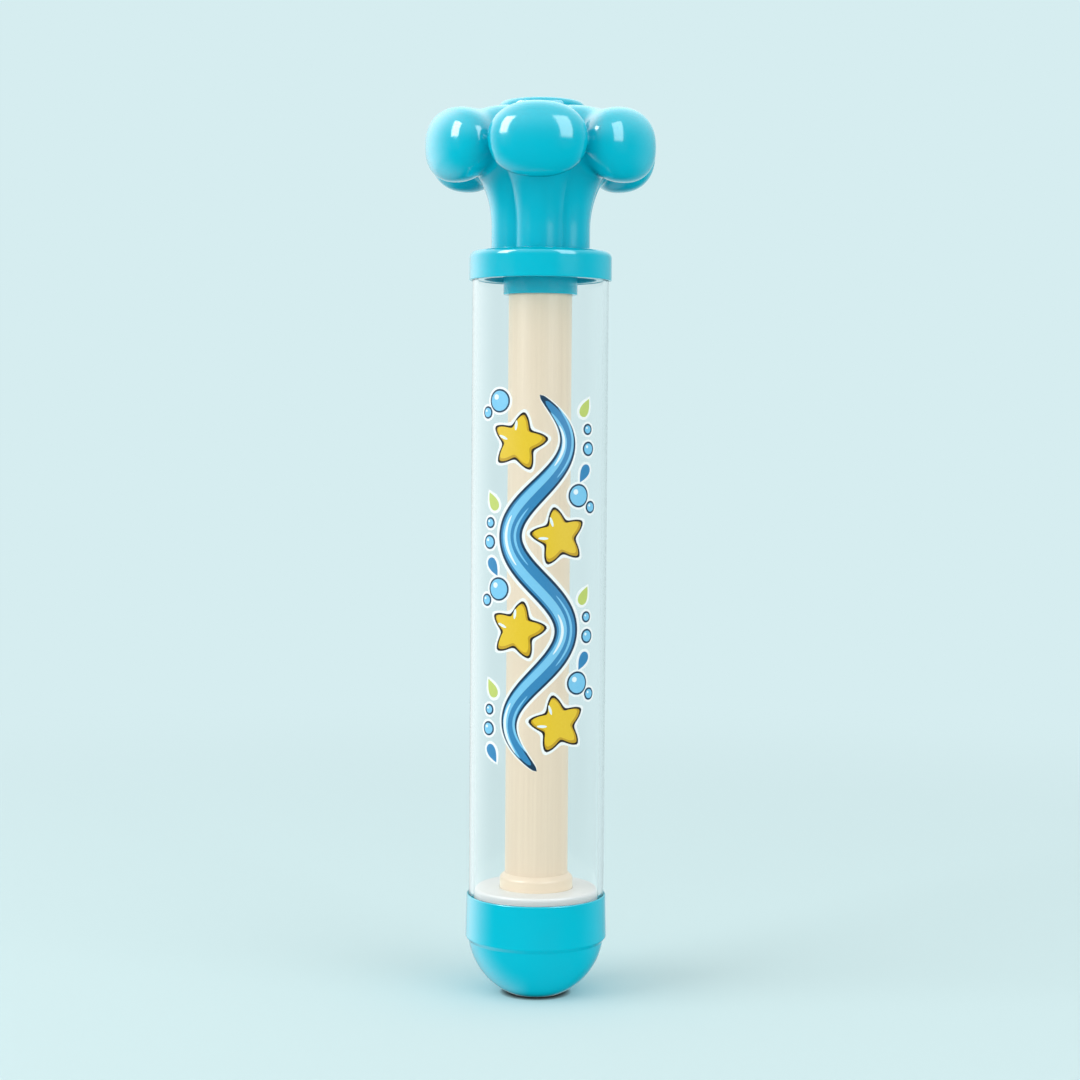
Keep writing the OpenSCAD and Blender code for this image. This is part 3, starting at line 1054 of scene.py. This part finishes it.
@dataclass
class BarrelPrint:
    """Print on the front of the tube: a winding stream with stars in its bends, bubbles and drops.

    Places are millimetres round the tube from its front, and up from the tip of the nose.
    """

    low: float = 74.0
    high: float = 190.2
    bends: int = 4
    swing: float = 9.0
    stream_half: float = 3.2
    stream_taper: float = 0.45
    outline: float = 0.8
    border: float = 1.0
    star_points: int = 5
    star_r: float = 8.6
    star_off: float = 6.5
    star_waist: float = 0.44
    star_power: float = 1.35
    star_tilt: float = 0.2
    face_share: float = 0.91
    face_shift: Pair = (-0.28, 0.34)
    glint_arms: int = 2
    glint_span: Pair = (0.36, 0.72)
    glint_half: float = 0.42
    glint_taper: float = 0.5
    glint_aside: float = 0.9
    glint_turn: float = 0.1
    glint_shift: Pair = (-0.3, 0.3)
    bubble_outline: float = 0.55
    bubble_border: float = 0.7
    shine_r: float = 0.27
    shine_at: Pair = (-0.36, 0.38)
    drop_border: float = 0.9
    drop_power: float = 0.55
    drop_rise: float = 0.15
    drop_tall: float = 1.35
    lift: float = 0.02
    film: float = 0.04
    overlap: float = 0.5
    stagger: float = 0.0005
    rings: int = 9
    spokes: int = 80
    steps: int = 150

    def __post_init__(self) -> None:
        """Take the tube's radius from the frame, start with no ink, and lay out the spokes of a patch."""
        self.tube_r = node_box("barrel_tube")[1][0]
        self.shells: dict[Ink, list[Shell]] = {ink: [] for ink in Ink}
        self.angle = np.linspace(0, FULL_TURN, self.spokes, endpoint=False)
        self.spoke = np.stack([np.cos(self.angle), np.sin(self.angle)], -1)

    def build(self) -> None:
        """Draw the design, then build and dress one piece for each ink, thin enough to let light through."""
        self.draw_stream()
        pitch = (self.high - self.low) / self.bends
        for bend in range(self.bends):
            side = 1 if bend % 2 == 0 else -1
            self.draw_bend(side, self.low + pitch * (bend + 0.5))
        for ink, shells in self.shells.items():
            piece = make_piece(ink.piece, shells, ink.finish(), Body.BARREL)
            piece.visible_shadow = piece.visible_diffuse = False

    def wrap(self, across: np.ndarray, height: np.ndarray, lift: np.ndarray) -> np.ndarray:
        """Wrap flat places round the tube: the angle from the front is across / radius.

        Args:
            across: Millimetres round the tube from its front.
            height: Height.
            lift: How far the places lie outside the tube.

        Returns:
            Points in space.
        """
        angle = across / self.tube_r - QUARTER_TURN
        reach = self.tube_r + lift
        return np.stack([reach * np.cos(angle), reach * np.sin(angle), height + 0 * reach], -1)

    def film_span(self, ink: Ink) -> Pair:
        """Return the bottom and top of an ink's next film above the tube, a hair over its last one."""
        lift = self.lift + self.stagger * len(self.shells[ink])
        return lift + self.film * max(ink.level - self.overlap, 0), lift + self.film * (ink.level + 1)

    def patch(self, ink: Ink, centre: Pair | np.ndarray, outline: np.ndarray) -> None:
        """Add a patch of ink: rings from its centre to its outline below, and back above.

        Args:
            ink: The ink.
            centre: Where the patch lies.
            outline: Offsets of its edge from the centre, anticlockwise.
        """
        share = np.linspace(0, 1, self.rings)
        share = np.concatenate([share, share[::-1]])[:, None]
        lift = np.repeat(self.film_span(ink), self.rings)[:, None]
        points = self.wrap(centre[0] + share * outline[:, 0], centre[1] + share * outline[:, 1], lift)
        self.shells[ink].append(grid_shell(points, Ends.POLES))

    def strip(self, ink: Ink, path: np.ndarray, half: np.ndarray, aside: float = 0.0) -> None:
        """Add a strip of ink along a path: a flat section carried along it, with a point at both ends.

        Args:
            ink: The ink.
            path: Places along the strip's middle.
            half: Half its width at each place.
            aside: How far the strip lies to the right of the path.
        """
        ahead = np.gradient(path, axis=0)
        ahead /= np.linalg.norm(ahead, axis=1, keepdims=True)
        right = np.stack([ahead[:, 1], -ahead[:, 0]], -1)
        share = np.linspace(-1, 1, self.rings)
        reach = aside + half[:, None] * np.concatenate([share[::-1], share])
        lift = np.repeat(self.film_span(ink), self.rings) + 0 * reach
        points = self.wrap(path[:, :1] + right[:, :1] * reach, path[:, 1:] + right[:, 1:] * reach, lift)
        self.shells[ink].append(grid_shell(points, Ends.POLES))

    def taper(self, power: float) -> np.ndarray:
        """Return a strip's width along it as a share of its widest: a power of half a sine wave."""
        return np.sin(np.linspace(0, math.pi, self.steps)) ** power

    def stream_path(self, start: float, end: float) -> np.ndarray:
        """Work out places along the stream: a sine wave with half a wave for each bend.

        Args:
            start: Share of the stream's length where the places start.
            end: Share where they end.

        Returns:
            Steps by 2, across and up.
        """
        share = np.linspace(start, end, self.steps)
        across = -self.swing * np.sin(math.pi * self.bends * share)
        return np.stack([across, self.low + (self.high - self.low) * share], -1)

    def draw_stream(self) -> None:
        """Draw the stream: border, outline, blue body, sky-blue band, and glints and ripples in its bends."""
        taper = self.taper(self.stream_taper)
        for ink, grow in ((Ink.BORDER, self.outline + self.border), (Ink.NAVY, self.outline)):
            self.strip(ink, self.stream_path(0.0, 1.0), (self.stream_half + grow) * taper)
        middles = [(bend + 0.5) / self.bends for bend in range(self.bends)]
        placed = [(band, 0.0) for band in STREAM_BANDS]
        placed += [(band, middle) for middle in middles for band in BEND_BANDS]
        for band, middle in placed:
            path = self.stream_path(middle + band.start, middle + band.end)
            self.strip(band.ink, path, band.half * self.stream_half * taper, band.aside * self.stream_half)

    def draw_bend(self, side: int, height: float) -> None:
        """Draw one bend's star, bubbles and drops.

        Args:
            side: 1 where the star lies right of the stream, -1 where it lies left.
            height: Height of the bend's middle.
        """
        self.draw_star((side * self.star_off, height), side)
        for bubble in BUBBLES:
            self.draw_bubble(bubble, (side * bubble.across, height + bubble.up))
        for drop in DROPS:
            self.draw_drop(drop, (side * drop.across, height + drop.up), side * drop.lean)

    def draw_star(self, centre: Pair, side: int) -> None:
        """Draw a plump star: its radius falls from each tip by a power of |sin(points/2 angle)| to its waist.

        Args:
            centre: Where the star lies.
            side: 1 for a tilt to the left, -1 for one to the right.
        """
        tilt = QUARTER_TURN + side * self.star_tilt
        dip = np.abs(np.sin(self.star_points / 2 * (self.angle - tilt))) ** self.star_power
        radius = (self.star_r * (1 - self.star_waist * dip))[:, None]
        layers = ((Ink.BORDER, self.outline + self.border), (Ink.BLACK, self.outline), (Ink.AMBER, 0.0))
        for ink, grow in layers:
            self.patch(ink, centre, (radius + grow) * self.spoke)
        self.patch(Ink.YELLOW, np.add(centre, self.face_shift), self.face_share * radius * self.spoke)
        reach = self.star_r * np.linspace(*self.glint_span, self.steps)[:, None]
        for arm in range(self.glint_arms):
            way = tilt + arm * FULL_TURN / self.star_points
            aside = self.glint_aside * np.array([-math.sin(way), math.cos(way)])
            along = np.array([math.cos(way + self.glint_turn), math.sin(way + self.glint_turn)])
            path = np.add(centre, self.glint_shift) + aside + reach * along
            self.strip(Ink.GLINT, path, self.glint_half * self.taper(self.glint_taper))

    def draw_bubble(self, bubble: Motif, centre: Pair) -> None:
        """Draw a bubble: discs for its border, outline and body, with a glint at its upper left.

        Args:
            bubble: The bubble.
            centre: Where it lies.
        """
        rim = bubble.r + self.bubble_outline
        for ink, radius in ((Ink.BORDER, rim + self.bubble_border), (Ink.NAVY, rim), (bubble.ink, bubble.r)):
            self.patch(ink, centre, radius * self.spoke)
        shine = np.add(centre, np.multiply(self.shine_at, bubble.r))
        self.patch(Ink.GLINT, shine, self.shine_r * bubble.r * self.spoke)

    def draw_drop(self, drop: Motif, centre: Pair, lean: float) -> None:
        """Draw a drop: a circle made taller, whose width falls as its spoke turns up to the point.

        Args:
            drop: The drop.
            centre: Where it lies.
            lean: Angle that it leans to the left, in radians.
        """
        east, north = self.spoke.T
        across = east * ((1 - north) / 2) ** self.drop_power
        up = self.drop_rise + self.drop_tall * north
        turned = np.stack([across * math.cos(lean) - up * math.sin(lean),
                           across * math.sin(lean) + up * math.cos(lean)], -1)
        outward = turned / np.linalg.norm(turned, axis=1, keepdims=True)
        self.patch(Ink.BORDER, centre, drop.r * turned + self.drop_border * outward)
        self.patch(drop.ink, centre, drop.r * turned)


class Role(Enum):
    """What a lamp is there for: to light surfaces, or to be mirrored in glossy ones."""

    LIGHT = "light"
    MIRROR = "mirror"


@dataclass(frozen=True)
class Softbox:
    """A softbox: degrees round from the front towards +X, degrees up, and its face in metres.

    The lamps that light are broad and plain. The small bright windows that the glossy plastic mirrors are
    hung apart, so that their brightness doesn't change the level of light.
    """

    name: str
    role: Role
    azimuth: float
    elevation: float
    size: Pair
    radiance: float


SOFTBOXES = (
    Softbox("key_softbox", Role.LIGHT, -66.0, 17.0, (0.8, 0.7), 2.7),
    Softbox("fill_softbox", Role.LIGHT, 50.0, 8.0, (0.8, 0.8), 1.5),
    Softbox("key_window", Role.MIRROR, -63.0, 34.0, (0.34, 0.6), 14.0),
    Softbox("fill_window", Role.MIRROR, 45.0, 33.0, (0.48, 0.76), 5.5),
)


@dataclass
class Studio:
    """Camera, paper, lamps and world. Lengths are in metres, angles in degrees."""

    distance: float = 0.6905
    height: float = 0.17846
    aside: float = 0.00044
    pitch: float = 2.81
    roll: float = 0.4345
    sensor: float = 36.0
    focal_px: float = 2180.0
    frame_px: float = 1080.0
    clip: Pair = (0.01, 100.0)
    paper: str = "#CBE2E4"
    backdrop: str = "#D6EDF0"
    light: str = "#FFFFFF"
    world_light: float = 0.86
    room: MirroredRoom = MirroredRoom()
    floor_span: Pair = (0.01, 12.0)
    floor_rings: int = 24
    floor_columns: int = 64
    floor_gap: float = 0.0002
    aim: float = 0.15
    lamp_away: float = 1.0

    def build(self) -> None:
        """Build the set."""
        self.set_camera()
        self.lay_floor()
        self.set_world()
        for lamp in SOFTBOXES:
            self.hang(lamp)
        bpy.context.scene.view_settings.view_transform = "Standard"

    def set_camera(self) -> None:
        """Set the camera level with the barrel in front of the print, pitched down and rolled a little."""
        lens = bpy.data.cameras.new("camera")
        lens.sensor_width = self.sensor
        lens.lens = self.sensor * self.focal_px / self.frame_px
        lens.clip_start, lens.clip_end = self.clip
        camera = bpy.data.objects.new("camera", lens)
        place = Matrix.Translation((self.aside, -self.distance, self.height))
        pitched = Matrix.Rotation(QUARTER_TURN - math.radians(self.pitch), 4, "X")
        camera.matrix_world = place @ pitched @ Matrix.Rotation(math.radians(self.roll), 4, "Z")
        bpy.context.scene.collection.objects.link(camera)
        bpy.context.scene.camera = camera

    def lay_floor(self) -> None:
        """Lay the paper: a flat disc just under the object, in rings that widen outwards."""
        ring = np.geomspace(*self.floor_span, self.floor_rings)[:, None]
        angle = np.linspace(0, FULL_TURN, self.floor_columns, endpoint=False)
        points = np.stack([ring * np.cos(angle), ring * np.sin(angle), 0 * ring * angle - self.floor_gap], -1)
        index = np.arange(points.size // 3).reshape(points.shape[:2])
        inner, outer = index[:-1], index[1:]
        quads = np.stack([inner, outer, np.roll(outer, -1, 1), np.roll(inner, -1, 1)], -1).reshape(-1, 4)
        mesh = bpy.data.meshes.new("paper_floor")
        mesh.from_pydata(points.reshape(-1, 3).tolist(), [], quads.tolist() + [index[0].tolist()])
        finish = BackdropPaper("matt_seamless_paper", None, self.paper, self.backdrop, self.room)
        mesh.materials.append(finish.material())
        floor = bpy.data.objects.new("paper_floor", mesh)
        floor.visible_glossy = False
        bpy.context.scene.collection.objects.link(floor)

    def set_world(self) -> None:
        """Set even light all round, the pale backdrop where it is seen, and the room in mirrors."""
        world = bpy.data.worlds.new("studio_world")
        world.use_nodes = True
        tree = world.node_tree
        tree.nodes.clear()
        path = add_node(tree, "LightPath")
        seen = add_node(tree, "Math", MAXIMUM, {
            0: path["Is Camera Ray"], 1: path["Is Transmission Ray"]})["Value"]
        mirrored = add_node(tree, "Math", MINIMUM, {0: path["Glossy Depth"], 1: 1.0})["Value"]
        way = add_node(tree, "TexCoord")["Generated"]
        light, backdrop, room = (
            add_node(tree, "Background", inputs=inputs)["Background"]
            for inputs in ({"Color": linear(self.light), "Strength": self.world_light},
                           {"Color": linear(self.backdrop)}, self.room.light(tree, way)))
        direct = add_node(tree, "MixShader", inputs={0: seen, 1: light, 2: backdrop})["Shader"]
        shown = add_node(tree, "MixShader", inputs={0: mirrored, 1: direct, 2: room})["Shader"]
        add_node(tree, "OutputWorld", inputs={"Surface": shown})
        bpy.context.scene.world = world

    def hang(self, lamp: Softbox) -> None:
        """Hang a softbox so that it faces the middle of the object.

        Args:
            lamp: The softbox.
        """
        a, e = math.radians(lamp.azimuth), math.radians(lamp.elevation)
        back = Vector((math.sin(a) * math.cos(e), -math.cos(a) * math.cos(e), math.sin(e)))
        light = bpy.data.lights.new(lamp.name, "AREA")
        light.shape = "RECTANGLE"
        light.size, light.size_y = lamp.size
        light.energy = lamp.radiance * math.pi * lamp.size[0] * lamp.size[1]
        hung = bpy.data.objects.new(lamp.name, light)
        hung.location = Vector((0, 0, self.aim)) + back * self.lamp_away
        hung.rotation_euler = (-back).to_track_quat("-Z", "Y").to_euler()
        hung.visible_camera = hung.visible_transmission = False
        hung.visible_diffuse = lamp.role is Role.LIGHT
        hung.visible_glossy = lamp.role is Role.MIRROR
        bpy.context.scene.collection.objects.link(hung)


def dress_hidden() -> None:
    """Give the frame's own nodes that stay, the plugs and the screws, their finishes."""
    for node, finish in (("rod_foot_plug", WHITE), ("rod_head_plug", WHITE),
                         ("piston_screw", STEEL), ("knob_screw", STEEL)):
        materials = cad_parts[node].data.materials
        materials.clear()
        materials.append(finish.material())
        LOG.info("%s: node of the frame, %s", node, finish.name)


def main() -> None:
    """Build every sub-assembly in order, then the set."""
    logging.basicConfig(level=logging.INFO, format="%(message)s")
    for assembly in (Barrel(), Piston(), Rod(), Knob(), BarrelPrint()):
        assembly.build()
    dress_hidden()
    Studio().build()
    bpy.context.view_layer.update()


if __name__ == "__main__":
    main()
